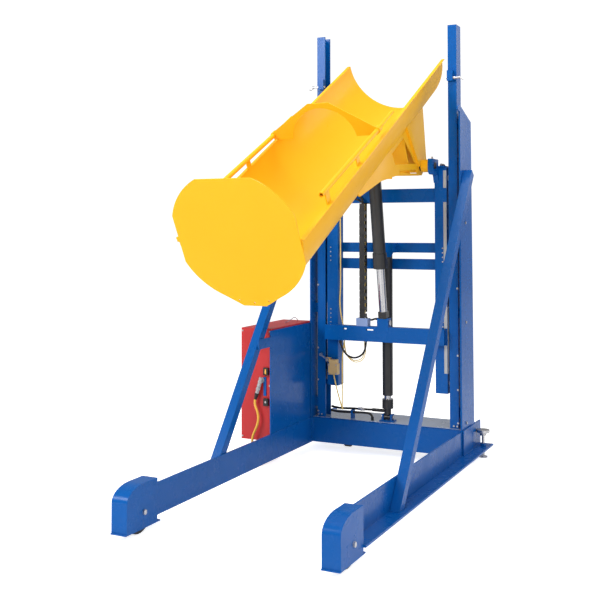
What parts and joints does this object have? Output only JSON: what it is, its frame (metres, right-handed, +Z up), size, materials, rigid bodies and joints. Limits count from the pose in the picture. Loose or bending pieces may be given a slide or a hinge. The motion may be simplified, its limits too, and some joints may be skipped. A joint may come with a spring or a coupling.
{
  "type": "drum tipper",
  "caption": "Wheeled steel frame with a two-mast lift carriage, a tilting half-pipe chute with end plate, guard rails and sliding retainer, hydraulic cylinders and a side power box.",
  "frame": {"origin": "middle of the bounding box's base, on the floor", "axes": "+X to the machine's right, +Y to the rear (the chute empties that way), +Z up"},
  "size_m": [1.323, 2.342, 2.604],
  "materials": {
    "blue_paint": "glossy enamel",
    "yellow_paint": "satin enamel",
    "red_paint": "satin enamel",
    "black_paint": "satin black",
    "steel": "zinc plated",
    "chrome": "hard chrome",
    "rubber": "matt black rubber",
    "wheel": "cast polyurethane",
    "yellow_cord": "matt jacket",
    "beige": "moulded",
    "black_plastic": "moulded",
    "grey_steel": "bare steel"
  },
  "bodies": {
    "base": {"left_leg": "blue_paint", "right_leg": "blue_paint", "toe_guards": "blue_paint", "toe_axles": "steel", "front_cross_member": "blue_paint", "rear_cross_member": "blue_paint", "deck_plate": "blue_paint", "left_mast": "blue_paint", "right_mast": "blue_paint", "side_plates": "blue_paint", "left_strut": "blue_paint", "right_strut": "blue_paint", "side_panel": "blue_paint", "power_box": "red_paint", "box_cover": "red_paint", "pump_unit": "black_paint", "cord_grip": "steel", "power_cord": "yellow_cord", "lid_wire": "steel", "lift_foot": "blue_paint", "lift_rod": "chrome", "base_hoses": "rubber", "base_bolts": "steel"},
    "carriage": {"left_upright": "blue_paint", "right_upright": "blue_paint", "carriage_crossbars": "blue_paint", "carriage_bolts": "steel", "pivot_bearings": "blue_paint", "lift_barrel": "black_paint", "clevis_pin": "steel", "hose_track": "black_plastic", "carriage_hoses": "rubber", "signal_cable": "yellow_cord", "limit_switch": "beige"},
    "chute": {"trough": "yellow_paint", "bottom_plate": "yellow_paint", "guard_rails": "yellow_paint", "tilt_frame": "yellow_paint", "pivot_shafts": "black_paint"},
    "retainer": {"retainer": "yellow_paint"},
    "dump_rod": {"dump_rod": "chrome"},
    "dump_barrel": {"dump_barrel": "black_paint", "dump_top_pin": "steel"},
    "left_toe_wheel": {"left_toe_wheel": "wheel"},
    "right_toe_wheel": {"right_toe_wheel": "wheel"},
    "left_caster_fork": {"left_caster_fork": "steel"},
    "right_caster_fork": {"right_caster_fork": "steel"},
    "left_caster_wheel": {"left_caster_wheel": "wheel"},
    "right_caster_wheel": {"right_caster_wheel": "wheel"},
    "left_floor_lock": {"left_floor_lock": "steel"},
    "right_floor_lock": {"right_floor_lock": "steel"},
    "left_stop_pin": {"left_stop_pin": "steel"},
    "right_stop_pin": {"right_stop_pin": "steel"},
    "upper_left_roller": {"upper_left_roller": "grey_steel"},
    "upper_right_roller": {"upper_right_roller": "grey_steel"},
    "lower_left_roller": {"lower_left_roller": "grey_steel"},
    "lower_right_roller": {"lower_right_roller": "grey_steel"},
    "limit_lever": {"limit_lever": "steel"},
    "upper_latch": {"upper_latch": "black_plastic"},
    "lower_latch": {"lower_latch": "black_plastic"}
  },
  "joints": [
    {"name": "carriage_lift", "type": "slide", "parent": "base", "child": "carriage", "axis": [0, 0, 1], "range_m": [0, 0.48]},
    {"name": "chute_tilt", "type": "hinge", "parent": "carriage", "child": "chute", "pos_m": [0.0575, 0.745, 1.76], "axis": [1, 0, 0], "range_deg": [-73.5, 61.5]},
    {"name": "dump_cylinder_swing", "type": "hinge", "parent": "carriage", "child": "dump_rod", "pos_m": [0.0575, 0.792, 0.817], "axis": [1, 0, 0], "range_deg": [-4.5, 0]},
    {"name": "dump_barrel_extend", "type": "slide", "parent": "dump_rod", "child": "dump_barrel", "axis": [0, -0.1672, 0.9859], "range_m": [-0.0946, 0.1129]},
    {"name": "retainer_slide", "type": "slide", "parent": "chute", "child": "retainer", "axis": [0, 0.8788, 0.4772], "range_m": [0, 0.22]},
    {"name": "upper_left_roller_spin", "type": "hinge", "parent": "carriage", "child": "upper_left_roller", "pos_m": [-0.3625, 0.86, 1.69], "axis": [1, 0, 0], "range_deg": [-5, 880]},
    {"name": "lower_left_roller_spin", "type": "hinge", "parent": "carriage", "child": "lower_left_roller", "pos_m": [-0.3625, 0.86, 0.47], "axis": [1, 0, 0], "range_deg": [-880, 5]},
    {"name": "upper_right_roller_spin", "type": "hinge", "parent": "carriage", "child": "upper_right_roller", "pos_m": [0.4775, 0.86, 1.69], "axis": [1, 0, 0], "range_deg": [-5, 880]},
    {"name": "lower_right_roller_spin", "type": "hinge", "parent": "carriage", "child": "lower_right_roller", "pos_m": [0.4775, 0.86, 0.47], "axis": [1, 0, 0], "range_deg": [-880, 5]},
    {"name": "left_toe_wheel_spin", "type": "hinge", "parent": "base", "child": "left_toe_wheel", "pos_m": [-0.459, -1.033, 0.1016], "axis": [1, 0, 0], "continuous": true},
    {"name": "left_caster_swivel", "type": "hinge", "parent": "base", "child": "left_caster_fork", "pos_m": [-0.2625, 0.967, 0.11], "axis": [0, 0, 1], "continuous": true},
    {"name": "left_caster_wheel_spin", "type": "hinge", "parent": "left_caster_fork", "child": "left_caster_wheel", "pos_m": [-0.2625, 0.992, 0.05], "axis": [1, 0, 0], "continuous": true},
    {"name": "left_floor_lock_screw", "type": "slide", "parent": "base", "child": "left_floor_lock", "axis": [0, 0, 1], "range_m": [0, 0.015]},
    {"name": "left_stop_pin_pull", "type": "slide", "parent": "base", "child": "left_stop_pin", "axis": [-1, 0, 0], "range_m": [0, 0.02], "stiffness_N_per_m": 400},
    {"name": "right_toe_wheel_spin", "type": "hinge", "parent": "base", "child": "right_toe_wheel", "pos_m": [0.574, -1.033, 0.1016], "axis": [1, 0, 0], "continuous": true},
    {"name": "right_caster_swivel", "type": "hinge", "parent": "base", "child": "right_caster_fork", "pos_m": [0.3775, 0.967, 0.11], "axis": [0, 0, 1], "continuous": true},
    {"name": "right_caster_wheel_spin", "type": "hinge", "parent": "right_caster_fork", "child": "right_caster_wheel", "pos_m": [0.3775, 0.992, 0.05], "axis": [1, 0, 0], "continuous": true},
    {"name": "right_floor_lock_screw", "type": "slide", "parent": "base", "child": "right_floor_lock", "axis": [0, 0, 1], "range_m": [0, 0.015]},
    {"name": "right_stop_pin_pull", "type": "slide", "parent": "base", "child": "right_stop_pin", "axis": [1, 0, 0], "range_m": [0, 0.02], "stiffness_N_per_m": 400},
    {"name": "limit_lever_turn", "type": "hinge", "parent": "carriage", "child": "limit_lever", "pos_m": [-0.3195, 0.787, 0.572], "axis": [0, 1, 0], "range_deg": [-20, 20], "stiffness_Nm_per_rad": 0.5},
    {"name": "upper_latch_turn", "type": "hinge", "parent": "base", "child": "upper_latch", "pos_m": [-0.4605, 0.247, 0.563], "axis": [0, 1, 0], "range_deg": [0, 90]},
    {"name": "lower_latch_turn", "type": "hinge", "parent": "base", "child": "lower_latch", "pos_m": [-0.4605, 0.247, 0.387], "axis": [0, 1, 0], "range_deg": [0, 90]}
  ],
  "couplings": [
    {"joint": "dump_barrel_extend", "follows": "chute_tilt", "m_per_rad": -0.087231},
    {"joint": "upper_left_roller_spin", "follows": "carriage_lift", "rad_per_m": 31.746},
    {"joint": "lower_left_roller_spin", "follows": "carriage_lift", "rad_per_m": -31.746},
    {"joint": "upper_right_roller_spin", "follows": "carriage_lift", "rad_per_m": 31.746},
    {"joint": "lower_right_roller_spin", "follows": "carriage_lift", "rad_per_m": -31.746}
  ]
}
